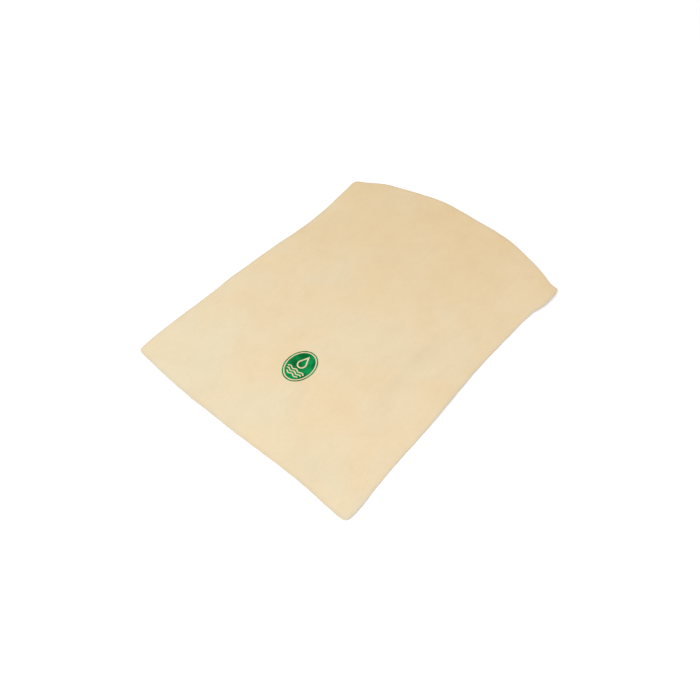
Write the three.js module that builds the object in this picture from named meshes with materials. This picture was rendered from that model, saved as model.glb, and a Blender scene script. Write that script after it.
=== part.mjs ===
// Chamois leather: one soft sheet of oil-tanned sheepskin, lying flat with its printed side up.
// A small oval stamp in green ink sits near the sheet's near edge.
// Millimetres, +Z up, +X across the sheet, +Y towards its domed end.
// The origin is on the surface that the sheet lies on, under the middle of its outline.

import * as THREE from 'three';

// Leather, from corner to corner, with the dome standing out beyond the two far corners
const SHEET_WIDTH = 410;
const SHEET_LENGTH = 478;
const DOME_RISE = 53;
const LEATHER_THICKNESS = 1;

// Bow of each knife-cut side: [share of the way along it, millimetres outwards from its chord].
// The sides run anticlockwise from the near left corner.
const NEAR_BOW = [[0.06, 4.1], [0.27, 7.7], [0.55, 4.8], [0.78, 1.3], [0.96, 2.9]];
const RIGHT_BOW = [[0.04, 2.6], [0.2, -1.7], [0.37, -3.2], [0.62, -7.7], [0.86, -4.6], [0.94, 2.8]];
const LEFT_BOW = [[0.03, -2.9], [0.25, -8.4], [0.37, -6.8], [0.57, 0.9], [0.85, 1.6]];

// The dome's line, from the far right corner to the far left one: [share of the way, share of the rise]
const DOME_LINE = [
  [0.03, 0.02], [0.12, 0.385], [0.28, 0.83], [0.45, 0.91], [0.62, 1], [0.76, 0.825], [0.88, 0.53],
  [0.96, 0.14],
];

// Where the dry leather stands a little off the table: share of the way along a side, rise and reach
const NEAR_LIFTS = [
  { at: 0.22, rise: 2.4, reach: 75 },
  { at: 0.72, rise: 1.8, reach: 65 },
];
const RIGHT_LIFTS = [
  { at: 0, rise: 1.6, reach: 60 },
  { at: 0.46, rise: 2.4, reach: 85 },
  { at: 1, rise: 4.5, reach: 100 },
];
const DOME_LIFTS = [
  { at: 0.48, rise: 3.2, reach: 95 },
];
const LEFT_LIFTS = [
  { at: 0, rise: 3.6, reach: 90 },
  { at: 0.4, rise: 2.6, reach: 80 },
  { at: 0.9, rise: 2, reach: 70 },
];

// The sheet stays flat under the stamp, and rises to its lifts over this distance
const FLAT_FADE = 30;

// Mesh of the sheet
const SHEET_COLUMNS = 22;
const SHEET_ROWS = 26;

// Stamp: overall size, place of its middle, and thickness of the ink film
const STAMP_WIDTH = 47;
const STAMP_HEIGHT = 57;
const STAMP_FROM_NEAR_EDGE = 129;
const INK_THICKNESS = 0.12;

// Oval band round the stamp, and the bare gap inside it
const RING_BAND = 1.8;
const RING_GAP = 1.8;

// Water drop left bare in the solid oval, with an ink core inside its bare line
const DROP_WIDTH = 15;
const DROP_HEIGHT = 24;
const DROP_LINE = 2.2;
const DROP_BELOW_FIELD_TOP = 4.5;

// Bare wave lines below the drop: width, swing to each side, wavelength, ink left between two lines
const WAVE_LINE = 1.8;
const WAVE_SWING = 1.1;
const WAVE_LENGTH = 11;
const WAVE_GAP = 2.8;
const WAVE_EDGE_MARGIN = 4;

// Segments of the stamp's curves
const OVAL_SEGMENTS = 48;
const DROP_SEGMENTS = 24;
const WAVE_SEGMENTS = 14;
const WAVE_END_SEGMENTS = 4;

const LEATHER = new THREE.MeshStandardMaterial({ color: '#ebd7b2', roughness: 0.95, metalness: 0 });
const GREEN_INK = new THREE.MeshStandardMaterial({ color: '#14874a', roughness: 0.8, metalness: 0 });

const NEAR_LEFT = new THREE.Vector3(0, 0, 0);
const NEAR_RIGHT = new THREE.Vector3(SHEET_WIDTH, 0, 0);
const FAR_RIGHT = new THREE.Vector3(SHEET_WIDTH, SHEET_LENGTH, 0);
const FAR_LEFT = new THREE.Vector3(0, SHEET_LENGTH, 0);
const STAMP_CENTRE = new THREE.Vector3(SHEET_WIDTH / 2, STAMP_FROM_NEAR_EDGE, 0);

// A side's curve from one corner to the next, through the points of its bow
function sideCurve(start, end, bow) {
  const along = end.clone().sub(start);
  const outward = new THREE.Vector3(along.y, -along.x, 0).normalize();
  const points = bow.map(([share, out]) =>
    start.clone().addScaledVector(along, share).addScaledVector(outward, out));
  return new THREE.CatmullRomCurve3([start, ...points, end]);
}

const near = sideCurve(NEAR_LEFT, NEAR_RIGHT, NEAR_BOW);
const right = sideCurve(NEAR_RIGHT, FAR_RIGHT, RIGHT_BOW);
const dome = sideCurve(FAR_RIGHT, FAR_LEFT, DOME_LINE.map(([share, rise]) => [share, rise * DOME_RISE]));
const left = sideCurve(FAR_LEFT, NEAR_LEFT, LEFT_BOW);

// A point of the outline's surface patch: u runs from left to right, v from the near edge to the dome
function patchPoint(u, v) {
  const acrossSides = left.getPointAt(1 - v).lerp(right.getPointAt(v), u);
  const alongEnds = near.getPointAt(u).lerp(dome.getPointAt(1 - u), v);
  const nearChord = NEAR_LEFT.clone().lerp(NEAR_RIGHT, u);
  const farChord = FAR_LEFT.clone().lerp(FAR_RIGHT, u);
  return acrossSides.add(alongEnds).sub(nearChord.lerp(farChord, v));
}

const lifts = [[near, NEAR_LIFTS], [right, RIGHT_LIFTS], [dome, DOME_LIFTS], [left, LEFT_LIFTS]].flatMap(
  ([side, places]) => places.map(({ at, rise, reach }) => ({ centre: side.getPointAt(at), rise, reach })));

// The sheet's grid cell limits how near to the stamp a lift may begin
const cellDiagonal = Math.hypot(SHEET_WIDTH / SHEET_COLUMNS, (SHEET_LENGTH + DOME_RISE) / SHEET_ROWS);
const flatRadius = Math.max(STAMP_WIDTH, STAMP_HEIGHT) / 2 + cellDiagonal;

// Height of the underside above the table
function liftAt(point) {
  let lift = 0;
  for (const { centre, rise, reach } of lifts) {
    const closeness = Math.max(0, 1 - point.distanceToSquared(centre) / reach ** 2);
    lift += rise * closeness ** 2;
  }
  const awayFromStamp = point.distanceTo(STAMP_CENTRE);
  return lift * THREE.MathUtils.smoothstep(awayFromStamp, flatRadius, flatRadius + FLAT_FADE);
}

// Closed sheet: an upper and a lower grid, joined round the border
function sheetGeometry() {
  const positions = [];
  for (const level of [0, LEATHER_THICKNESS]) {
    for (let row = 0; row <= SHEET_ROWS; row += 1) {
      for (let column = 0; column <= SHEET_COLUMNS; column += 1) {
        const point = patchPoint(column / SHEET_COLUMNS, row / SHEET_ROWS);
        positions.push(point.x, point.y, liftAt(point) + level);
      }
    }
  }
  const rowStride = SHEET_COLUMNS + 1;
  const upper = rowStride * (SHEET_ROWS + 1);
  const triangles = [];
  for (let row = 0; row < SHEET_ROWS; row += 1) {
    for (let column = 0; column < SHEET_COLUMNS; column += 1) {
      const a = row * rowStride + column;
      const b = a + 1;
      const c = a + rowStride;
      const d = c + 1;
      triangles.push(a, d, b, a, c, d);
      triangles.push(upper + a, upper + b, upper + d, upper + a, upper + d, upper + c);
    }
  }
  const border = borderLoop(rowStride);
  border.forEach((from, index) => {
    const to = border[(index + 1) % border.length];
    triangles.push(from, to, upper + to, from, upper + to, upper + from);
  });
  const geometry = new THREE.BufferGeometry();
  geometry.setAttribute('position', new THREE.Float32BufferAttribute(positions, 3));
  geometry.setIndex(triangles);
  geometry.computeVertexNormals();
  return geometry;
}

// Lower grid's border, anticlockwise from the near left corner
function borderLoop(rowStride) {
  const lastRow = SHEET_ROWS * rowStride;
  const loop = [];
  for (let column = 0; column < SHEET_COLUMNS; column += 1) {
    loop.push(column);
  }
  for (let row = 0; row < SHEET_ROWS; row += 1) {
    loop.push(row * rowStride + SHEET_COLUMNS);
  }
  for (let column = SHEET_COLUMNS; column > 0; column -= 1) {
    loop.push(lastRow + column);
  }
  for (let row = SHEET_ROWS; row > 0; row -= 1) {
    loop.push(row * rowStride);
  }
  return loop;
}

// Ellipse round the stamp's middle
function ovalPoints(halfWidth, halfHeight) {
  return new THREE.EllipseCurve(0, 0, halfWidth, halfHeight, 0, 2 * Math.PI)
    .getPoints(OVAL_SEGMENTS).slice(0, OVAL_SEGMENTS);
}

// Drop with a round belly and straight flanks that meet in a tip above it
function dropPoints(bellyY, bellyRadius, tipAbove) {
  const flank = Math.PI / 2 - Math.acos(bellyRadius / tipAbove);
  const belly = new THREE.EllipseCurve(0, bellyY, bellyRadius, bellyRadius, flank, Math.PI - flank, true);
  return [...belly.getPoints(DROP_SEGMENTS), new THREE.Vector2(0, bellyY + tipAbove)];
}

// Wavy line of one width with round ends, centred on the stamp's middle line
function wavePoints(waveY, span) {
  const turn = 2 * Math.PI / WAVE_LENGTH;
  const upperSide = [];
  const lowerSide = [];
  for (let step = 0; step <= WAVE_SEGMENTS; step += 1) {
    const x = span * (step / WAVE_SEGMENTS - 0.5);
    const middle = new THREE.Vector2(x, waveY + WAVE_SWING * Math.cos(turn * x));
    const across = new THREE.Vector2(WAVE_SWING * turn * Math.sin(turn * x), 1).setLength(WAVE_LINE / 2);
    upperSide.push(middle.clone().add(across));
    lowerSide.push(middle.clone().sub(across));
  }
  const rightEnd = roundEnd(upperSide.at(-1), lowerSide.at(-1));
  const leftEnd = roundEnd(lowerSide[0], upperSide[0]);
  return [...upperSide, ...rightEnd, ...lowerSide.reverse(), ...leftEnd];
}

// Half circle that closes a line's end, clockwise between its two sides
function roundEnd(from, to) {
  const middle = from.clone().add(to).multiplyScalar(0.5);
  const points = [];
  for (let step = 1; step < WAVE_END_SEGMENTS; step += 1) {
    points.push(from.clone().rotateAround(middle, -Math.PI * step / WAVE_END_SEGMENTS));
  }
  return points;
}

function inkFilm(outline, holes) {
  const shape = new THREE.Shape(outline);
  shape.holes = holes.map((points) => new THREE.Path(points));
  return new THREE.ExtrudeGeometry(shape, { depth: INK_THICKNESS, bevelEnabled: false });
}

const ringHalfWidth = STAMP_WIDTH / 2;
const ringHalfHeight = STAMP_HEIGHT / 2;
const fieldHalfWidth = ringHalfWidth - RING_BAND - RING_GAP;
const fieldHalfHeight = ringHalfHeight - RING_BAND - RING_GAP;

const bellyRadius = DROP_WIDTH / 2;
const tipAbove = DROP_HEIGHT - bellyRadius;
const bellyY = fieldHalfHeight - DROP_BELOW_FIELD_TOP - tipAbove;
const coreScale = 1 - DROP_LINE / bellyRadius;

// Each wave spans the solid oval at its own height, less a margin, and the last is still wider than a wave
function waveOutlines() {
  const outlines = [];
  let waveY = bellyY - bellyRadius - WAVE_GAP - WAVE_SWING - WAVE_LINE / 2;
  while (waveY > -fieldHalfHeight + WAVE_EDGE_MARGIN) {
    const halfChord = fieldHalfWidth * Math.sqrt(1 - (waveY / fieldHalfHeight) ** 2);
    const span = 2 * (halfChord - WAVE_EDGE_MARGIN);
    if (span > WAVE_LENGTH) {
      outlines.push(wavePoints(waveY, span));
    }
    waveY -= WAVE_LINE + WAVE_GAP;
  }
  return outlines;
}

const ring = inkFilm(
  ovalPoints(ringHalfWidth, ringHalfHeight),
  [ovalPoints(ringHalfWidth - RING_BAND, ringHalfHeight - RING_BAND)]);
const field = inkFilm(
  ovalPoints(fieldHalfWidth, fieldHalfHeight),
  [dropPoints(bellyY, bellyRadius, tipAbove), ...waveOutlines()]);
const core = inkFilm(dropPoints(bellyY, bellyRadius * coreScale, tipAbove * coreScale), []);

function namedMesh(name, geometry, material) {
  const mesh = new THREE.Mesh(geometry, material);
  mesh.name = name;
  return mesh;
}

const sheet = namedMesh('leather_sheet', sheetGeometry(), LEATHER);

const stamp = new THREE.Group();
stamp.position.set(STAMP_CENTRE.x, STAMP_CENTRE.y, LEATHER_THICKNESS);
stamp.add(namedMesh('stamp_ring', ring, GREEN_INK));
stamp.add(namedMesh('stamp_field', field, GREEN_INK));
stamp.add(namedMesh('stamp_drop', core, GREEN_INK));

const outlineMiddle = new THREE.Box3().setFromObject(sheet).getCenter(new THREE.Vector3());

const chamois = new THREE.Group();
chamois.position.set(-outlineMiddle.x, -outlineMiddle.y, 0);
chamois.add(sheet, stamp);

export default chamois;
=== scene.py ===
# Looks of a chamois leather: a soft buff sheet that lies on a white floor, with a green stamp printed on it.
# Metres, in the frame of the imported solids: +Z up, +X across the sheet, +Y towards its domed end.
import math

import bpy
import numpy as np
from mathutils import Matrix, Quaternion, Vector, noise
from mathutils.bvhtree import BVHTree
from mathutils.geometry import delaunay_2d_cdt


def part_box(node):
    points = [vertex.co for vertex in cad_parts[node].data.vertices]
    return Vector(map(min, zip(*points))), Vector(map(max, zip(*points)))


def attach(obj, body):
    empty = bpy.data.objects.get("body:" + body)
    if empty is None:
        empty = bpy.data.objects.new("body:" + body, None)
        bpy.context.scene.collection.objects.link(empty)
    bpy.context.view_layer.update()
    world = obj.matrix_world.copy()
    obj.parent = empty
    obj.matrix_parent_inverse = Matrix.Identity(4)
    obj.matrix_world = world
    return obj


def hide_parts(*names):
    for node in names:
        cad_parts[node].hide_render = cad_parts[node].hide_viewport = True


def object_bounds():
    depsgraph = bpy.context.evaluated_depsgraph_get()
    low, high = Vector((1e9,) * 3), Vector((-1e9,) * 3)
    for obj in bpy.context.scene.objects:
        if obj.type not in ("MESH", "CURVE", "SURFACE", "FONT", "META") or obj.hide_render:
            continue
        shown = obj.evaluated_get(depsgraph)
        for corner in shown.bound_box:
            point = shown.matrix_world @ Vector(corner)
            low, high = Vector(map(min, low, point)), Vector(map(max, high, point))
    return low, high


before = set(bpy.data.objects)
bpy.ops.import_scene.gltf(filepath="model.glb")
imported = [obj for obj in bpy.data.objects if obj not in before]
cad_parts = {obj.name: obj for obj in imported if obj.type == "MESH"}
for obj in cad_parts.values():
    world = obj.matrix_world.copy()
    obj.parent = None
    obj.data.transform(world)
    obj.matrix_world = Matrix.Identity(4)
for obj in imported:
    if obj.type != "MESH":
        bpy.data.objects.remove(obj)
CAD_LOW, CAD_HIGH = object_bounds()
MM = 0.001

# Cut of the sheet from corner to corner, with the dome beyond the far corners, and its thickness
SHEET_WIDTH = 410 * MM
SHEET_LENGTH = 478 * MM
DOME_RISE = 53 * MM
THICKNESS = 1 * MM

# Bow of each side, anticlockwise from the near left: (share of the way along it, outwards from its chord).
# These are the solid's bows, trimmed closer to the photograph
NEAR_BOW = [
    (0.012, 2.2 * MM), (0.06, 4.5 * MM), (0.22, 8 * MM), (0.3, 7.9 * MM), (0.38, 6.8 * MM), (0.48, 6.3 * MM),
    (0.55, 5 * MM), (0.8, 1.4 * MM), (0.86, 2 * MM), (0.96, 3.4 * MM), (0.99, 3.1 * MM)]
RIGHT_BOW = [
    (0.008, 0.5 * MM), (0.04, 1.25 * MM), (0.15, -2.5 * MM), (0.23, -3.4 * MM), (0.37, -4.5 * MM),
    (0.49, -7.5 * MM), (0.62, -9 * MM), (0.73, -8.4 * MM), (0.865, -6.2 * MM), (0.925, 0.8 * MM),
    (0.975, 1.4 * MM)]
LEFT_BOW = [
    (0.03, -2.9 * MM), (0.25, -8.4 * MM), (0.31, -8.5 * MM), (0.37, -6.8 * MM), (0.57, 1.1 * MM),
    (0.69, 1.6 * MM), (0.85, 1.7 * MM), (0.98, 0.8 * MM)]

# The dome's line from the far right corner to the far left one: (share of the way, share of the rise)
DOME_LINE = [
    (0.033, 0.057), (0.123, 0.43), (0.282, 0.866), (0.45, 0.933), (0.52, 0.968), (0.63, 1.012), (0.76, 0.835),
    (0.88, 0.538), (0.96, 0.133)]

# Outline: spacing of its points, and steps of a curve from one knot to the next
OUTLINE_STEP = 1 * MM
CURVE_STEPS = 40

# How far each corner lies from the solid's, anticlockwise from the near left
CORNER_TRIMS = np.array([(0, 0), (1.8 * MM, 0), (1.2 * MM, -2.8 * MM), (0, 0)])

# Rounding of the corners, in the same order, and how far along it reaches, in outline points
CORNER_ROUNDS = [0.7, 1.2, 1.2, 7.5]
ROUND_WINDOW = 20

# Where the dry leather stands off the floor: (side, share of the way along it, rise, reach)
NEAR, RIGHT, DOME, LEFT = range(4)
LIFTS = [
    (NEAR, 0.22, 2.4 * MM, 75 * MM),
    (NEAR, 0.72, 1.8 * MM, 65 * MM),
    (RIGHT, 0, 1.6 * MM, 60 * MM),
    (RIGHT, 0.46, 2.4 * MM, 85 * MM),
    (RIGHT, 1, 4.5 * MM, 100 * MM),
    (DOME, 0.48, 3.2 * MM, 95 * MM),
    (LEFT, 0, 3.6 * MM, 90 * MM),
    (LEFT, 0.4, 2.6 * MM, 80 * MM),
    (LEFT, 0.9, 2 * MM, 70 * MM),
]

# Round the stamp's middle the sheet lies flat as far as this radius, and has this share of its unevenness.
# It comes up to its full lifts over this distance
FLAT_RADIUS = 56 * MM
FLAT_UNEVEN = 0.3
FLAT_FADE = 30 * MM

# Unevenness, as (swing, length, seed of its noise): the knife's wander along the cut, the ragged cut face,
# swells off the floor, ripples of the limp edge, and the drift, puckers and lumps of the thickness
KNIFE_WANDER = [(0.4 * MM, 24 * MM, 21.5), (0.35 * MM, 10 * MM, 22.5)]
RIM_RAGGED = (0.12 * MM, 3 * MM, 31.4)
SWELL = (0.9 * MM, 150 * MM, 3.7)
RIPPLE = (1.2 * MM, 30 * MM, 17.6)
THICKNESS_DRIFT = (0.08 * MM, 90 * MM, 11.3)
PUCKERS = (0.2 * MM, 34 * MM, 5.9)
LUMPS = (0.04 * MM, 8 * MM, 8.1)

# Faint mark of an old fold: its two ends, the share of its length that it fades over, the half width and depth
# of its dip, and where the painted shade of its right flank sets in and goes, from the fold to the right
FOLD_START = np.array([119 * MM, 45 * MM])
FOLD_END = np.array([123 * MM, -130 * MM])
FOLD_FADE = 0.25
FOLD_HALF_WIDTH = 8 * MM
FOLD_DEPTH = 0.24 * MM
FOLD_SHADE_SETS_IN = (-11 * MM, -1 * MM)
FOLD_SHADE_GOES = (0, 28 * MM)

# Cut face of the rim: (inset from the cut, level from 1 at the printed side to -1 at the flesh side).
# Both sides end this far in from the cut
RIM_PROFILE = [
    (0.32 * MM, 1), (0.1 * MM, 0.93), (0, 0.6), (0.04 * MM, 0), (0, -0.6), (0.1 * MM, -0.94), (0.32 * MM, -1)]
RIM_INSET = 1 * MM

# Mesh of the sheet, and how many of its cells the handled tone and the ripples reach in from the edge
COLUMNS = 180
ROWS = 232
HANDLED_CELLS = 2.5
RIPPLE_CELLS = 11

# Map for baking: its margin, the flesh side's scale, and the place, pitch and width of the rim's four strips
MAP_NAME = "OFBake"
MAP_MARGIN = 0.008
MAP_FLESH_SCALE = 0.275
MAP_RIM_LEFT = 0.78
MAP_RIM_LOW = 0.3
MAP_RIM_STEP = 0.055
MAP_RIM_WIDTH = 0.045

# Stamp, whose place and outer sizes come from the frame
RING_BAND = 1.8 * MM
DROP_WIDTH = 15 * MM
DROP_HEIGHT = 24 * MM
DROP_LINE = 2.2 * MM
DROP_BELOW_FIELD_TOP = 4.5 * MM
WAVE_LINE = 1.8 * MM
WAVE_SWING = 1.1 * MM
WAVE_LENGTH = 11 * MM
WAVE_GAP = 2.8 * MM
WAVE_EDGE_MARGIN = 4 * MM

# Ink films: bleeding of their edges, as (swing, length, seed), spacing of the points along the edges and
# between them, steps round the end of a wave, and a height over the sheet to drop the films onto it from
INK_BLEED = [(0.2 * MM, 4 * MM, 41.2), (0.09 * MM, 1.1 * MM, 41.2)]
INK_STEP = 0.35 * MM
INK_GRID = 1.2 * MM
WAVE_END_STEPS = 6
ABOVE_SHEET = 10 * MM

# Filling of a film with triangles: it covers the whole hull, and points as close as this are merged
WHOLE_HULL = 0
MERGE_WITHIN = 1e-7

# Buff tones of the leather at its near end and at its dome, each with a warm and a pale one. The dome's are
# darker: partly the hide's own colour, partly painted shade for the light falling off towards the dome
NEAR_WARM = (0.883, 0.713, 0.462)
NEAR_PALE = (0.858, 0.747, 0.528)
DOME_WARM = (0.860, 0.660, 0.388)
DOME_PALE = (0.872, 0.706, 0.454)

# Slight cast of the leather, multiplied in, at its left side and at its right
LEFT_CAST = (0.983, 0.988, 1)
RIGHT_CAST = (1.014, 1.001, 1)

# Patches of the tanning: size, and the span of its noise over which they turn pale
TANNING_SIZE = 95 * MM
TANNING_SPAN = (0.24, 0.78)

# Further patches: (place, reach, how much paler, or warmer where it is below zero)
TANNING_PATCHES = [
    ((-150 * MM, -215 * MM), 120 * MM, 0.5),
    ((-25 * MM, -240 * MM), 95 * MM, 0.6),
    ((75 * MM, -12 * MM), 90 * MM, 0.5),
    ((175 * MM, 70 * MM), 120 * MM, 0.6),
    ((170 * MM, 185 * MM), 70 * MM, 0.4),
    ((-150 * MM, 70 * MM), 75 * MM, -0.5),
    ((105 * MM, 140 * MM), 75 * MM, 0.4),
    ((-20 * MM, 262 * MM), 110 * MM, -0.4),
    ((45 * MM, 10 * MM), 70 * MM, 0.35),
    ((-140 * MM, -50 * MM), 70 * MM, 0.35),
]

# Blotches and strokes: the shade that each multiplies in, its size and the span of its noise, and the scale
# along the sheet that draws the strokes out
BLOTCH = (0.983, 0.978, 0.971)
BLOTCH_SIZE = 38 * MM
BLOTCH_SPAN = (0.4, 0.68)
STROKE = (0.985, 0.982, 0.976)
STROKE_SIZE = 11 * MM
STROKE_SPAN = (0.42, 0.7)
STROKE_DRAWN = 0.4

# Shades of the handled rim and painted shade beside the old fold, and the size and relief of the grain
# under the nap
HANDLED = (0.92, 0.945, 1)
FOLD_PAINTED_SHADE = (0.97, 0.966, 0.972)
GRAIN_SIZE = 3.4 * MM
GRAIN_DEPTH = 0.16 * MM

# Nap of each of the sheet's materials, in their order: (size, relief, strength of the painted shade in the
# hollows between its fibres, scale through the sheet, which brings out the hide's layers in the cut face)
NAPS = {
    "leather_printed_side": (0.4 * MM, 0.15 * MM, 0.5, 1),
    "leather_flesh_side": (1.2 * MM, 0.4 * MM, 0.6, 1),
    "leather_cut_rim": (0.5 * MM, 0.2 * MM, 0.6, 4),
}

# Scale along the sheet that draws the nap out, and the painted shade of its hollows and the span of its noise
NAP_DRAWN = 0.6
HOLLOW_PAINTED_SHADE = (0.85, 0.8, 0.73)
PAINTED_HOLLOW_SHADE_SPAN = (0.66, 0.3)

# Ink: its two tones and their patches, and its pores, which let a little of the leather show
INK_GREEN = (0.004, 0.298, 0.082)
INK_DARK = (0.001, 0.125, 0.026)
INK_PATCH_SIZE = 20 * MM
INK_PATCH_SPAN = (0.36, 0.66)
PORE_SIZE = 0.8 * MM
PORE_SPAN = (0.64, 0.8)
PORE_SHOWS = 0.4
PORE_DEPTH = 0.1 * MM

# Roughness of both, over this span of the noise of the nap or the pores, and what is the same all over them
ROUGHNESS_SPAN = (0.3, 0.7)
LEATHER_ROUGHNESS = (1, 0.86)
INK_ROUGHNESS = (0.7, 0.9)
LEATHER_FINISH = {
    "Specular IOR Level": 0.2, "Sheen Weight": 0.12, "Sheen Roughness": 0.6, "Sheen Tint": (1, 0.93, 0.8, 1)}
INK_FINISH = {"Specular IOR Level": 0.04}

# Floor, which takes shadow as far as its lit reach and is plain white from further off
FLOOR_SIZE = 40
FLOOR_WHITE = (0.75, 0.75, 0.75, 1)
FLOOR_GLOW = 0.42
FLOOR_LIT_REACH = 0.5
FLOOR_WHITE_FROM = 1.2

# Even light from all round, and a large soft lamp over the near end
WORLD_LIGHT = 0.62
KEY_PLACE = Vector((-0.25, -1.2, 1.85))
KEY_SIZE = 1.6
KEY_POWER = 25.8

# Camera at the photograph's place, found from the sheet's four corners
CAMERA_PLACE = Vector((0.4606, -0.4733, 0.7789))
CAMERA_AIM = Vector((0.0355, -0.0657, 0))
CAMERA_ROLL = math.radians(-5.59)
CAMERA_LENS = 34.77
SENSOR = 36


def cloud(points, wavelength, seed):
    """Smooth noise from about -1 to 1 at each point of the plan."""
    return np.array([noise.noise(Vector((x / wavelength, y / wavelength, seed))) for x, y in points])


def smoothstep(value, low, high):
    """0 below low, 1 above high, and a smooth rise between them."""
    share = np.clip((value - low) / (high - low), 0, 1)
    return share * share * (3 - 2 * share)


# Outline of the sheet


def resample(points, count):
    """Points spaced evenly along a line of points, both ends included."""
    walked = np.concatenate([[0], np.cumsum(np.linalg.norm(np.diff(points, axis=0), axis=1))])
    even = np.linspace(0, walked[-1], count)
    return np.stack([np.interp(even, walked, points[:, axis]) for axis in range(2)], axis=1)


def spline(points):
    """Centripetal Catmull-Rom curve through the points."""
    ends = np.vstack([2 * points[0] - points[1], points, 2 * points[-1] - points[-2]])
    t = np.linspace(0, 1, CURVE_STEPS, endpoint=False)[:, None]
    curve = []
    for a, b, c, d in zip(ends, ends[1:], ends[2:], ends[3:]):
        ab, bc, cd = (math.sqrt(np.linalg.norm(q - p)) for p, q in ((a, b), (b, c), (c, d)))
        leave = bc * ((b - a) / ab - (c - a) / (ab + bc) + (c - b) / bc)
        arrive = bc * ((c - b) / bc - (d - b) / (bc + cd) + (d - c) / cd)
        start = (2 * t**3 - 3 * t**2 + 1) * b + (t**3 - 2 * t**2 + t) * leave
        curve.append(start + (3 * t**2 - 2 * t**3) * c + (t**3 - t**2) * arrive)
    return np.vstack([*curve, points[-1:]])


def side_line(start, end, bow):
    """A side's points, one outline step apart, without its last one."""
    along = end - start
    outward = np.array([along[1], -along[0]]) / np.linalg.norm(along)
    through = [start, *(start + share * along + out * outward for share, out in bow), end]
    curve = spline(np.array(through))
    length = np.linalg.norm(np.diff(curve, axis=0), axis=1).sum()
    return resample(curve, round(length / OUTLINE_STEP) + 1)[:-1]


def rounded(loop, places):
    """A closed line of points with the corners at these places rounded, each by its own moving average."""
    window = np.arange(-ROUND_WINDOW, ROUND_WINDOW + 1)
    smooth = loop.copy()
    for place, points in zip(places, CORNER_ROUNDS):
        weights = np.exp(-0.5 * (window / points) ** 2)
        for middle in place + window:
            smooth[middle % len(loop)] = weights @ loop[(middle + window) % len(loop)] / weights.sum()
    return smooth


def sheet_outline():
    """The smooth outline, its outward directions, and the places of its four corners along it."""
    corners = CORNER_TRIMS + [(0, 0), (SHEET_WIDTH, 0), (SHEET_WIDTH, SHEET_LENGTH), (0, SHEET_LENGTH)]
    dome_bow = [(share, rise * DOME_RISE) for share, rise in DOME_LINE]
    bows = [NEAR_BOW, RIGHT_BOW, dome_bow, LEFT_BOW]
    sides = [side_line(corners[k], corners[(k + 1) % 4], bow) for k, bow in enumerate(bows)]
    places = np.cumsum([0, *map(len, sides)])
    loop = rounded(np.vstack(sides), places[:-1])
    low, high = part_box("leather_sheet")
    loop += (np.array(low.xy) + np.array(high.xy) - loop.min(axis=0) - loop.max(axis=0)) / 2
    along = np.roll(loop, -1, axis=0) - np.roll(loop, 1, axis=0)
    outward = np.stack([along[:, 1], -along[:, 0]], axis=1)
    return loop, outward / np.linalg.norm(outward, axis=1)[:, None], places


OUTLINE, OUTWARD, CORNER_PLACES = sheet_outline()


def ring_places():
    """Places along the outline of the mesh's rim, side by side from the near left corner."""
    counts = [COLUMNS, ROWS, COLUMNS, ROWS]
    ends = zip(CORNER_PLACES, CORNER_PLACES[1:], counts)
    return np.concatenate([np.linspace(start, end, count, endpoint=False) for start, end, count in ends])


def at_places(values, places):
    """Values of the closed outline at places that may lie between its points."""
    closed = np.vstack([values, values[:1]])
    return np.stack([np.interp(places, range(len(closed)), closed[:, axis]) for axis in range(2)], axis=1)


def knife_cut():
    """The cut round the mesh's rim with the knife's wander, and its outward directions."""
    places = ring_places()
    cut, outward = at_places(OUTLINE, places), at_places(OUTWARD, places)
    for swing, wavelength, seed in KNIFE_WANDER:
        cut += outward * (swing * cloud(cut, wavelength, seed))[:, None]
    return cut, outward


def area_within(loop):
    following = np.roll(loop, -1, axis=0)
    return 0.5 * np.sum(loop[:, 0] * following[:, 1] - loop[:, 1] * following[:, 0])


# Height of the sheet

STAMP_LOW, STAMP_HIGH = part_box("stamp_ring")
STAMP_MIDDLE = (np.array(STAMP_LOW.xy) + np.array(STAMP_HIGH.xy)) / 2


def away_from_stamp(points):
    """0 where the sheet lies flat under the stamp, 1 well away from it."""
    distance = np.linalg.norm(points - STAMP_MIDDLE, axis=1)
    return smoothstep(distance, FLAT_RADIUS, FLAT_RADIUS + FLAT_FADE)


def standing(noise_values):
    """Noise turned into heights from 0 to about 1, most of them low."""
    return (0.5 + 0.5 * noise_values) ** 2


def lifted(points):
    """How far the lifts and swells raise the sheet's underside off the floor."""
    height = np.zeros(len(points))
    for side, share, rise, reach in LIFTS:
        start, end = CORNER_PLACES[side], CORNER_PLACES[side + 1]
        centre = at_places(OUTLINE, [start + share * (end - start)])[0]
        squared = ((points - centre) ** 2).sum(axis=1) / reach**2
        height += rise * np.clip(1 - squared, 0, None) ** 2
    swing, wavelength, seed = SWELL
    height += swing * standing(cloud(points, wavelength, seed))
    return height * away_from_stamp(points)


def cells_from_end(count):
    """How many cells each point of a line of cells is from the line's nearer end."""
    place = np.arange(count + 1)
    return np.minimum(place, count - place)


def rippled(points):
    """How far ripples raise the sheet near its edge, at the grid's points."""
    from_end = np.clip(cells_from_end(ROWS) / RIPPLE_CELLS, 0, 1)
    from_side = np.clip(cells_from_end(COLUMNS) / RIPPLE_CELLS, 0, 1)
    calm = (1 - (1 - from_end[:, None]) ** 2) * (1 - (1 - from_side[None]) ** 2)
    swing, wavelength, seed = RIPPLE
    return swing * (1 - calm.ravel()) * standing(cloud(points, wavelength, seed))


def beside_fold(points):
    """How far each point is to the right of the old fold, and the fold's strength, which fades at its ends."""
    along = FOLD_END - FOLD_START
    share = (points - FOLD_START) @ along / (along @ along)
    aside = (points - FOLD_START) @ np.array([-along[1], along[0]]) / np.linalg.norm(along)
    return aside, smoothstep(share, 0, FOLD_FADE) * smoothstep(1 - share, 0, FOLD_FADE)


def fold_dip(points):
    aside, strength = beside_fold(points)
    return FOLD_DEPTH * np.exp(-((aside / FOLD_HALF_WIDTH) ** 2)) * strength


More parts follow.
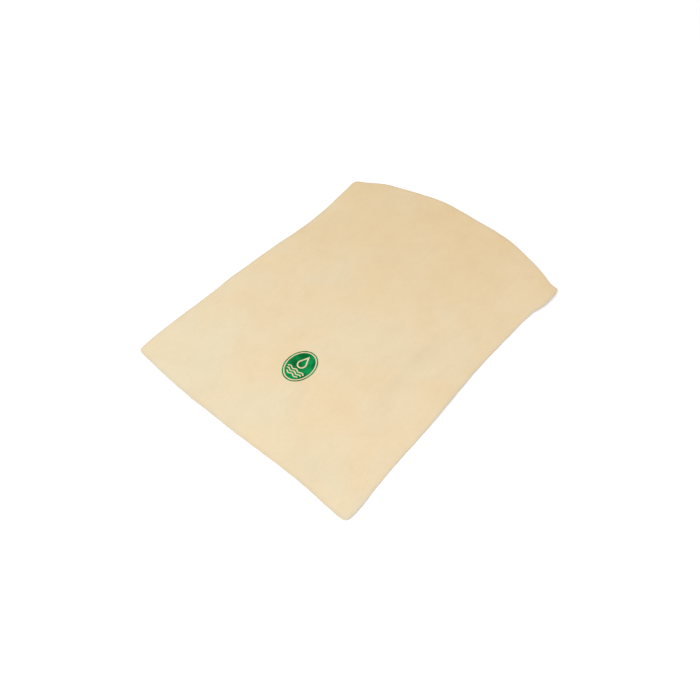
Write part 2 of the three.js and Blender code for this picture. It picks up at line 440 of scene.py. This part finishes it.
def fold_painted_shade_share(points):
    """How strongly painted shade beside the fold darkens the leather, sharply on its left and less and less to
    its right.
    """
    aside, strength = beside_fold(points)
    return smoothstep(aside, *FOLD_SHADE_SETS_IN) * (1 - smoothstep(aside, *FOLD_SHADE_GOES)) * strength


def leather_thickness(points):
    """Thickness with the leather's own drift, puckers, small lumps and the mark of a fold."""
    uneven = np.zeros(len(points))
    for swing, wavelength, seed in (THICKNESS_DRIFT, PUCKERS, LUMPS):
        uneven += swing * cloud(points, wavelength, seed)
    kept = FLAT_UNEVEN + (1 - FLAT_UNEVEN) * away_from_stamp(points)
    return THICKNESS + uneven * kept - fold_dip(points)


# Mesh of the sheet


def new_object(name, vertices, faces):
    """A smooth-shaded mesh object in the scene."""
    mesh = bpy.data.meshes.new(name)
    mesh.from_pydata([tuple(v) for v in vertices], [], [tuple(f) for f in faces])
    mesh.polygons.foreach_set("use_smooth", [True] * len(mesh.polygons))
    mesh.update()
    piece = bpy.data.objects.new(name, mesh)
    bpy.context.scene.collection.objects.link(piece)
    return piece


def patch(ring):
    """Grid of points, near to far and left to right, that fills a ring of points."""
    near = ring[: COLUMNS + 1]
    right = ring[COLUMNS : COLUMNS + ROWS + 1]
    far = ring[COLUMNS + ROWS : 2 * COLUMNS + ROWS + 1][::-1]
    left = np.vstack([ring[2 * COLUMNS + ROWS :], ring[:1]])[::-1]
    u = np.linspace(0, 1, COLUMNS + 1)[None, :, None]
    v = np.linspace(0, 1, ROWS + 1)[:, None, None]
    ends = (1 - v) * near[None] + v * far[None]
    sides = (1 - u) * left[:, None] + u * right[:, None]
    corners = (1 - v) * ((1 - u) * near[0] + u * near[-1]) + v * ((1 - u) * far[0] + u * far[-1])
    return (ends + sides - corners).reshape(-1, 2)


# Numbers of the grid's points, and of those on its border, anticlockwise from the near left corner
GRID = np.arange((ROWS + 1) * (COLUMNS + 1)).reshape(ROWS + 1, COLUMNS + 1)
BORDER = np.concatenate([GRID[0, :-1], GRID[:-1, -1], GRID[-1, :0:-1], GRID[:0:-1, 0]])


def nearness_to_edge():
    """1 at the grid's border points, falling to 0 a few cells inside it."""
    cells_in = np.minimum(cells_from_end(ROWS)[:, None], cells_from_end(COLUMNS)[None])
    return np.clip(1 - cells_in.ravel() / HANDLED_CELLS, 0, 1)


def rim_layers(cut, outward, high, low):
    """Loops of points of the cut face, from the printed side to the flesh side."""
    middle, half = (high + low) / 2, (high - low) / 2
    swing, wavelength, seed = RIM_RAGGED
    layers = []
    for inset, level in RIM_PROFILE:
        out = swing * (1 - abs(level)) * cloud(cut, wavelength, seed + level) - inset
        layers.append(np.column_stack([cut + outward * out[:, None], middle + half * level]))
    return layers


def rim_quads():
    """Faces of the cut face, in strips from the printed side's border to the flesh side's."""
    around = np.arange(len(BORDER))
    between = [2 * GRID.size + k * len(BORDER) + around for k in range(len(RIM_PROFILE))]
    loops = [BORDER, *between, BORDER + GRID.size]
    strips = []
    for upper, lower in zip(loops, loops[1:]):
        strips.append(np.stack([lower, np.roll(lower, -1), np.roll(upper, -1), upper], axis=1))
    return np.vstack(strips)


def lay_out_map(sheet, plan):
    """Map for baking: the printed side large, the flesh side small beside it, the rim in a strip a side."""
    cells = ROWS * COLUMNS
    corners = np.empty(len(sheet.data.loops), np.int32)
    sheet.data.loops.foreach_get("vertex_index", corners)
    share = (plan - plan.min(axis=0)) / np.ptp(plan, axis=0).max()
    printed = MAP_MARGIN + (1 - 2 * MAP_MARGIN) * share[corners[: 4 * cells]]
    flesh = MAP_FLESH_SCALE * share[corners[4 * cells : 8 * cells] - len(plan)]
    flesh = np.column_stack([1 - MAP_MARGIN - flesh[:, 0], MAP_MARGIN + flesh[:, 1]])

    counts = np.array([COLUMNS, ROWS, COLUMNS, ROWS])
    left = np.repeat(MAP_RIM_LEFT + MAP_RIM_STEP * np.arange(4), counts)
    height = 1 - MAP_MARGIN - MAP_RIM_LOW
    start = MAP_RIM_LOW + height * np.concatenate([np.arange(count) / count for count in counts])
    end = start + height / np.repeat(counts, counts)
    strips = len(RIM_PROFILE) + 1
    rim = []
    for strip in range(strips):
        upper = left + MAP_RIM_WIDTH * strip / strips
        lower = upper + MAP_RIM_WIDTH / strips
        rim.append(np.column_stack([lower, start, lower, end, upper, end, upper, start]).reshape(-1, 2))
    places = np.vstack([printed, flesh, *rim])
    sheet.data.uv_layers.new(name=MAP_NAME).data.foreach_set("uv", places.ravel())


def make_sheet():
    """The leather as one closed mesh of printed side, flesh side and cut rim, and the area that was cut."""
    cut, outward = knife_cut()
    plan = patch(cut - RIM_INSET * outward)
    low = lifted(plan) + rippled(plan)
    high = low + leather_thickness(plan)
    rim_points = rim_layers(cut, outward, high[BORDER], low[BORDER])
    vertices = np.vstack([np.column_stack([plan, high]), np.column_stack([plan, low]), *rim_points])

    corners = [GRID[:-1, :-1], GRID[:-1, 1:], GRID[1:, 1:], GRID[1:, :-1]]
    printed = np.stack([corner.ravel() for corner in corners], axis=1)
    flesh = printed[:, ::-1] + GRID.size
    rim = rim_quads()
    sheet = new_object("chamois_sheet", vertices, np.vstack([printed, flesh, rim]))
    wears = np.repeat(np.arange(len(NAPS)), [len(printed), len(flesh), len(rim)])
    sheet.data.polygons.foreach_set("material_index", wears.astype(np.int32))
    on_rim = len(RIM_PROFILE) * len(BORDER)
    marks = {
        "near_rim": np.concatenate([np.tile(nearness_to_edge(), 2), np.ones(on_rim)]),
        # painted shade along the right flank of the old fold
        "painted_fold_shade": np.concatenate([np.tile(fold_painted_shade_share(plan), 2), np.zeros(on_rim)]),
    }
    for name, values in marks.items():
        sheet.data.attributes.new(name, "FLOAT", "POINT").data.foreach_set("value", values)
    lay_out_map(sheet, plan)
    return sheet, area_within(cut)


# Meshes of the stamp


def oval(half_width, half_height):
    count = round(math.pi * (half_width + half_height) / INK_STEP)
    turn = np.linspace(0, 2 * math.pi, count, endpoint=False)
    return np.column_stack([half_width * np.cos(turn), half_height * np.sin(turn)])


def drop(belly_y, belly_radius, tip_above):
    """Drop with a round belly, about three quarters of a circle, and straight flanks that meet in a tip."""
    flank = math.asin(belly_radius / tip_above)
    belly_length = 1.5 * math.pi * belly_radius
    turn = np.linspace(flank, -math.pi - flank, round(belly_length / INK_STEP))
    belly = belly_radius * np.column_stack([np.cos(turn), np.sin(turn)]) + (0, belly_y)
    tip = np.array([(0, belly_y + tip_above)])
    flank_length = np.linalg.norm(belly[0] - tip[0])
    left = resample(np.vstack([belly[-1:], tip]), round(flank_length / INK_STEP))[1:]
    right = resample(np.vstack([tip, belly[:1]]), round(flank_length / INK_STEP))[1:-1]
    return np.vstack([belly, left, right])


def wave(wave_y, span):
    """Wavy line of one width with round ends."""
    turn = 2 * math.pi / WAVE_LENGTH
    x = np.linspace(-span / 2, span / 2, round(span / INK_STEP))
    middle = np.column_stack([x, wave_y + WAVE_SWING * np.cos(turn * x)])
    across = np.column_stack([WAVE_SWING * turn * np.sin(turn * x), np.ones(len(x))])
    across *= WAVE_LINE / 2 / np.linalg.norm(across, axis=1)[:, None]
    along = np.column_stack([across[:, 1], -across[:, 0]])
    caps = np.linspace(math.pi / 2, -math.pi / 2, WAVE_END_STEPS + 1)[1:-1, None]
    right_end = middle[-1] + np.sin(caps) * across[-1] + np.cos(caps) * along[-1]
    left_end = middle[0] - np.sin(caps) * across[0] - np.cos(caps) * along[0]
    return np.vstack([middle + across, right_end, (middle - across)[::-1], left_end])


def wave_loops(field_half_width, field_half_height, drop_bottom):
    """Waves below the drop, each across the solid oval at its own height, less a margin."""
    loops = []
    wave_y = drop_bottom - WAVE_GAP - WAVE_SWING - WAVE_LINE / 2
    while wave_y > -field_half_height + WAVE_EDGE_MARGIN:
        half_chord = field_half_width * math.sqrt(1 - (wave_y / field_half_height) ** 2)
        span = 2 * (half_chord - WAVE_EDGE_MARGIN)
        if span > WAVE_LENGTH:
            loops.append(wave(wave_y, span))
        wave_y -= WAVE_LINE + WAVE_GAP
    return loops


def inside(points, loops):
    """Whether each point is inside an odd number of the closed loops."""
    odd = np.zeros(len(points), bool)
    for loop in loops:
        for (ax, ay), (bx, by) in zip(loop, np.roll(loop, -1, axis=0)):
            crosses = (ay > points[:, 1]) != (by > points[:, 1])
            if crosses.any():
                at = ax + (points[:, 1] - ay) * (bx - ax) / (by - ay)
                odd ^= crosses & (points[:, 0] < at)
    return odd


def bled(loop):
    """A loop of the stamp with the slightly uneven edge of ink on nap."""
    along = np.roll(loop, -1, axis=0) - np.roll(loop, 1, axis=0)
    outward = np.column_stack([along[:, 1], -along[:, 0]]) / np.linalg.norm(along, axis=1)[:, None]
    out = sum(swing * cloud(loop, wavelength, seed) for swing, wavelength, seed in INK_BLEED)
    return loop + outward * out[:, None]


def film_field(loops):
    """Points inside a film, on a square grid and clear of its edges."""
    edge_points = np.vstack(loops)
    low, high = edge_points.min(axis=0), edge_points.max(axis=0)
    across = np.arange(low[0], high[0], INK_GRID)
    along = np.arange(low[1], high[1], INK_GRID)
    field = np.stack(np.meshgrid(across, along), axis=-1).reshape(-1, 2)
    field = field[inside(field, loops)]
    to_edge = [np.linalg.norm(edge_points - point, axis=1).min() for point in field]
    return field[np.array(to_edge) > INK_GRID / 2]


def film_plan(loops):
    """Points of a film between closed loops, and the triangles that fill it."""
    edges, count = [], 0
    for loop in loops:
        numbers = count + np.arange(len(loop))
        edges += list(zip(numbers.tolist(), np.roll(numbers, -1).tolist()))
        count += len(loop)
    flat = [Vector(point) for point in np.vstack([*loops, film_field(loops)])]
    points, _, triangles, *_ = delaunay_2d_cdt(flat, edges, [], WHOLE_HULL, MERGE_WITHIN)
    points, triangles = np.array(points), np.array(triangles)
    triangles = triangles[inside(points[triangles].mean(axis=1), loops)]
    used, triangles = np.unique(triangles, return_inverse=True)
    return points[used], triangles.reshape(-1, 3)


def make_film(name, loops, surface):
    """Ink film of the area between closed loops, laid on the leather's surface."""
    points, triangles = film_plan([bled(loop) for loop in loops])
    points = points + STAMP_MIDDLE
    hits = [surface.ray_cast(Vector((x, y, ABOVE_SHEET)), Vector((0, 0, -1)))[0] for x, y in points]
    ground = np.array([hit.z for hit in hits])
    thickness = STAMP_HIGH.z - STAMP_LOW.z
    vertices = np.vstack([np.column_stack([points, ground + thickness]), np.column_stack([points, ground])])
    sides = {(int(p), int(q)) for t in triangles for p, q in zip(t, np.roll(t, -1))}
    border = [(p, q) for p, q in sides if (q, p) not in sides]
    lower = len(points)
    walls = [(q, p, p + lower, q + lower) for p, q in sorted(border)]
    faces = [*triangles.tolist(), *(triangles[:, ::-1] + lower).tolist(), *walls]
    return new_object(name, vertices, faces)


def half_size(node):
    low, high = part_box(node)
    return (high.x - low.x) / 2, (high.y - low.y) / 2


def make_stamp(sheet):
    """The stamp's three islands of ink, by the solid that each one replaces."""
    surface = BVHTree.FromPolygons(
        [v.co for v in sheet.data.vertices], [p.vertices for p in sheet.data.polygons])
    ring_width, ring_height = half_size("stamp_ring")
    field_width, field_height = half_size("stamp_field")
    belly_radius = DROP_WIDTH / 2
    tip_above = DROP_HEIGHT - belly_radius
    belly_y = field_height - DROP_BELOW_FIELD_TOP - tip_above
    core = 1 - DROP_LINE / belly_radius
    bare_drop = drop(belly_y, belly_radius, tip_above)
    waves = wave_loops(field_width, field_height, belly_y - belly_radius)
    ring_loops = [oval(ring_width, ring_height), oval(ring_width - RING_BAND, ring_height - RING_BAND)]
    field_loops = [oval(field_width, field_height), bare_drop, *waves]
    drop_loops = [drop(belly_y, core * belly_radius, core * tip_above)]
    return {
        "stamp_ring": make_film("ink_ring", ring_loops, surface),
        "stamp_field": make_film("ink_field", field_loops, surface),
        "stamp_drop": make_film("ink_drop", drop_loops, surface),
    }


# Materials

# Sockets of the colour mix node, by number because its sockets of other types have the same names
MIX_SHARE, MIX_FIRST, MIX_SECOND, MIX_RESULT = 0, 6, 7, 2


class Nodes:
    """A new material's node tree, with short calls for the nodes that are used here."""

    def __init__(self, name):
        self.material = bpy.data.materials.new(name)
        self.material.use_nodes = True
        self.tree = self.material.node_tree
        self.tree.nodes.clear()
        self.output = self.add("ShaderNodeOutputMaterial")
        self.place = self.add("ShaderNodeTexCoord").outputs["Object"]

    def add(self, kind, **values):
        node = self.tree.nodes.new(kind)
        for name, value in values.items():
            setattr(node, name, value)
        return node

    def link(self, source, target):
        self.tree.links.new(source, target)

    def feed(self, value, socket):
        """Gives a socket its value: another socket, a colour of three numbers, or a number."""
        if isinstance(value, bpy.types.NodeSocket):
            self.link(value, socket)
        elif isinstance(value, tuple):
            socket.default_value = (*value, 1)
        else:
            socket.default_value = value

    def axis(self, name):
        node = self.add("ShaderNodeSeparateXYZ")
        self.link(self.place, node.inputs["Vector"])
        return node.outputs[name]

    def attribute(self, name):
        return self.add("ShaderNodeAttribute", attribute_name=name).outputs["Fac"]

    def distance(self, x, y):
        """How far each place is from a point of the floor."""
        node = self.add("ShaderNodeVectorMath", operation="DISTANCE")
        self.link(self.place, node.inputs[0])
        node.inputs[1].default_value = (x, y, 0)
        return node.outputs["Value"]

    def noise(self, size, detail=2.0, roughness=0.5, distortion=0.0, stretch=(1, 1, 1)):
        """Noise from 0 to 1 whose patches are about as large as size, in metres."""
        mapping = self.add("ShaderNodeMapping")
        mapping.inputs["Scale"].default_value = stretch
        self.link(self.place, mapping.inputs["Vector"])
        texture = self.add("ShaderNodeTexNoise")
        texture.inputs["Scale"].default_value = 1 / size
        texture.inputs["Detail"].default_value = detail
        texture.inputs["Roughness"].default_value = roughness
        texture.inputs["Distortion"].default_value = distortion
        self.link(mapping.outputs["Vector"], texture.inputs["Vector"])
        return texture.outputs["Fac"]

    def spread(self, value, span, to=(0.0, 1.0)):
        """value over a span, from its first number to its second, mapped smoothly to another span."""
        node = self.add("ShaderNodeMapRange", interpolation_type="SMOOTHSTEP")
        for name, number in zip(("From Min", "From Max", "To Min", "To Max"), (*span, *to)):
            node.inputs[name].default_value = number
        self.link(value, node.inputs["Value"])
        return node.outputs["Result"]

    def mix(self, share, first, second, blend="MIX"):
        """Mix of two colours, each a socket or three numbers. share is a socket or a number."""
        node = self.add("ShaderNodeMix", data_type="RGBA", blend_type=blend)
        for place, value in ((MIX_SHARE, share), (MIX_FIRST, first), (MIX_SECOND, second)):
            self.feed(value, node.inputs[place])
        return node.outputs[MIX_RESULT]

    def math(self, operation, first, second):
        """One arithmetic node of two values, each a socket or a number."""
        node = self.add("ShaderNodeMath", operation=operation)
        self.feed(first, node.inputs[0])
        self.feed(second, node.inputs[1])
        return node.outputs["Value"]

    def bump(self, height, depth, under=None):
        node = self.add("ShaderNodeBump")
        node.inputs["Distance"].default_value = depth
        self.link(height, node.inputs["Height"])
        if under is not None:
            self.link(under, node.inputs["Normal"])
        return node.outputs["Normal"]

    def surface(self, colour, roughness, normal, finish):
        """The finished material. finish holds the shader's values that are the same all over."""
        shader = self.add("ShaderNodeBsdfPrincipled")
        for name, value in finish.items():
            shader.inputs[name].default_value = value
        for name, socket in (("Base Color", colour), ("Roughness", roughness), ("Normal", normal)):
            self.link(socket, shader.inputs[name])
        self.link(shader.outputs["BSDF"], self.output.inputs["Surface"])
        return self.material


def leather_material(name, nap):
    """Leather with the nap of one face."""
    nap_size, nap_depth, nap_painted_shade, layers = nap
    n = Nodes(name)
    pale = n.spread(n.noise(TANNING_SIZE, detail=2, roughness=0.45, distortion=0.3), TANNING_SPAN)
    for place, reach, strength in TANNING_PATCHES:
        pale = n.math("ADD", pale, n.spread(n.distance(*place), (reach, 0), to=(0, strength)))
    along = n.spread(n.axis("Y"), (CAD_LOW.y, CAD_HIGH.y))
    # darker towards the dome: partly the hide's colour, partly painted shade of the light's falloff
    tone = n.mix(along, n.mix(pale, NEAR_WARM, NEAR_PALE), n.mix(pale, DOME_WARM, DOME_PALE))
    across = n.spread(n.axis("X"), (CAD_LOW.x, CAD_HIGH.x))
    tone = n.mix(1, tone, n.mix(across, LEFT_CAST, RIGHT_CAST), "MULTIPLY")
    blotches = n.noise(BLOTCH_SIZE, detail=3, roughness=0.5, distortion=0.5)
    tone = n.mix(n.spread(blotches, BLOTCH_SPAN), tone, BLOTCH, "MULTIPLY")
    strokes = n.noise(STROKE_SIZE, detail=2, distortion=1.4, stretch=(1, STROKE_DRAWN, 1))
    tone = n.mix(n.spread(strokes, STROKE_SPAN), tone, STROKE, "MULTIPLY")
    tone = n.mix(n.attribute("near_rim"), tone, HANDLED, "MULTIPLY")
    # painted shade along the right flank of the old fold
    tone = n.mix(n.attribute("painted_fold_shade"), tone, FOLD_PAINTED_SHADE, "MULTIPLY")
    fibres = n.noise(nap_size, detail=3, roughness=0.65, distortion=0.5, stretch=(1, NAP_DRAWN, layers))
    # painted shade in the hollows between the nap's fibres
    tone = n.mix(n.spread(fibres, PAINTED_HOLLOW_SHADE_SPAN, to=(0, nap_painted_shade)), tone, HOLLOW_PAINTED_SHADE, "MULTIPLY")
    grain = n.bump(n.noise(GRAIN_SIZE, detail=3, roughness=0.6), GRAIN_DEPTH)
    roughness = n.spread(fibres, ROUGHNESS_SPAN, to=LEATHER_ROUGHNESS)
    return n.surface(tone, roughness, n.bump(fibres, nap_depth, under=grain), LEATHER_FINISH)


def ink_material():
    """Dry ink that lets some fibres of the nap show through."""
    n = Nodes("green_ink")
    patches = n.noise(INK_PATCH_SIZE, detail=3, roughness=0.5)
    tone = n.mix(n.spread(patches, INK_PATCH_SPAN), INK_GREEN, INK_DARK)
    pores = n.noise(PORE_SIZE, detail=3, roughness=0.7)
    tone = n.mix(n.spread(pores, PORE_SPAN, to=(0, PORE_SHOWS)), tone, DOME_WARM)
    roughness = n.spread(pores, ROUGHNESS_SPAN, to=INK_ROUGHNESS)
    return n.surface(tone, roughness, n.bump(pores, PORE_DEPTH), INK_FINISH)


# Floor, light and camera


def seen_directly(tree):
    """1 on rays that come from the camera, a gloss or a clear surface, else 0."""
    path = tree.nodes.new("ShaderNodeLightPath")
    total = path.outputs["Is Camera Ray"]
    for name in ("Is Glossy Ray", "Is Transmission Ray"):
        most = tree.nodes.new("ShaderNodeMath")
        most.operation = "MAXIMUM"
        tree.links.new(total, most.inputs[0])
        tree.links.new(path.outputs[name], most.inputs[1])
        total = most.outputs["Value"]
    return total


def make_floor():
    """White floor that takes the shadow near the sheet, and is plain white further off."""
    bpy.ops.mesh.primitive_plane_add(size=FLOOR_SIZE)
    floor = bpy.context.object
    floor.name = "floor"
    n = Nodes("white_floor")
    seen = seen_directly(n.tree)
    diffuse = n.add("ShaderNodeBsdfDiffuse")
    diffuse.inputs["Color"].default_value = FLOOR_WHITE
    glow = n.add("ShaderNodeEmission")
    n.link(n.math("MULTIPLY", seen, FLOOR_GLOW), glow.inputs["Strength"])
    lit = n.add("ShaderNodeAddShader")
    n.link(diffuse.outputs["BSDF"], lit.inputs[0])
    n.link(glow.outputs["Emission"], lit.inputs[1])
    far_off = n.spread(n.distance(0, 0), (FLOOR_LIT_REACH, FLOOR_WHITE_FROM))
    choose = n.add("ShaderNodeMixShader")
    n.link(n.math("MULTIPLY", seen, far_off), choose.inputs["Fac"])
    n.link(lit.outputs["Shader"], choose.inputs[1])
    n.link(n.add("ShaderNodeEmission").outputs["Emission"], choose.inputs[2])
    n.link(choose.outputs["Shader"], n.output.inputs["Surface"])
    floor.data.materials.append(n.material)


def make_world():
    """Even white light from all round, and a plain white background."""
    world = bpy.data.worlds.new("white_studio")
    world.use_nodes = True
    tree = world.node_tree
    tree.nodes.clear()
    output = tree.nodes.new("ShaderNodeOutputWorld")
    light = tree.nodes.new("ShaderNodeBackground")
    light.inputs["Strength"].default_value = WORLD_LIGHT
    white = tree.nodes.new("ShaderNodeBackground")
    for background in (light, white):
        background.inputs["Color"].default_value = (1, 1, 1, 1)
    choose = tree.nodes.new("ShaderNodeMixShader")
    tree.links.new(seen_directly(tree), choose.inputs["Fac"])
    tree.links.new(light.outputs["Background"], choose.inputs[1])
    tree.links.new(white.outputs["Background"], choose.inputs[2])
    tree.links.new(choose.outputs["Shader"], output.inputs["Surface"])
    bpy.context.scene.world = world


def make_key_light():
    lamp = bpy.data.lights.new("key", "AREA")
    lamp.shape = "SQUARE"
    lamp.size = KEY_SIZE
    lamp.energy = KEY_POWER
    key = bpy.data.objects.new("key", lamp)
    key.location = KEY_PLACE
    key.rotation_mode = "QUATERNION"
    key.rotation_quaternion = (-KEY_PLACE).to_track_quat("-Z", "Y")
    bpy.context.scene.collection.objects.link(key)


def make_camera():
    lens = bpy.data.cameras.new("camera")
    lens.lens = CAMERA_LENS
    lens.sensor_width = SENSOR
    camera = bpy.data.objects.new("camera", lens)
    camera.location = CAMERA_PLACE
    camera.rotation_mode = "QUATERNION"
    aim = (CAMERA_AIM - CAMERA_PLACE).to_track_quat("-Z", "Y")
    camera.rotation_quaternion = aim @ Quaternion((0, 0, 1), CAMERA_ROLL)
    bpy.context.scene.collection.objects.link(camera)
    bpy.context.scene.camera = camera


# The scene

bpy.context.scene.view_settings.view_transform = "Standard"
make_world()
make_floor()
make_key_light()
make_camera()

sheet, flat_area = make_sheet()
for name, nap in NAPS.items():
    sheet.data.materials.append(leather_material(name, nap))
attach(sheet, "root")
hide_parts("leather_sheet")

ink = ink_material()
films = make_stamp(sheet)
for node, film in films.items():
    film.data.materials.append(ink)
    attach(film, "root")
    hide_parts(node)
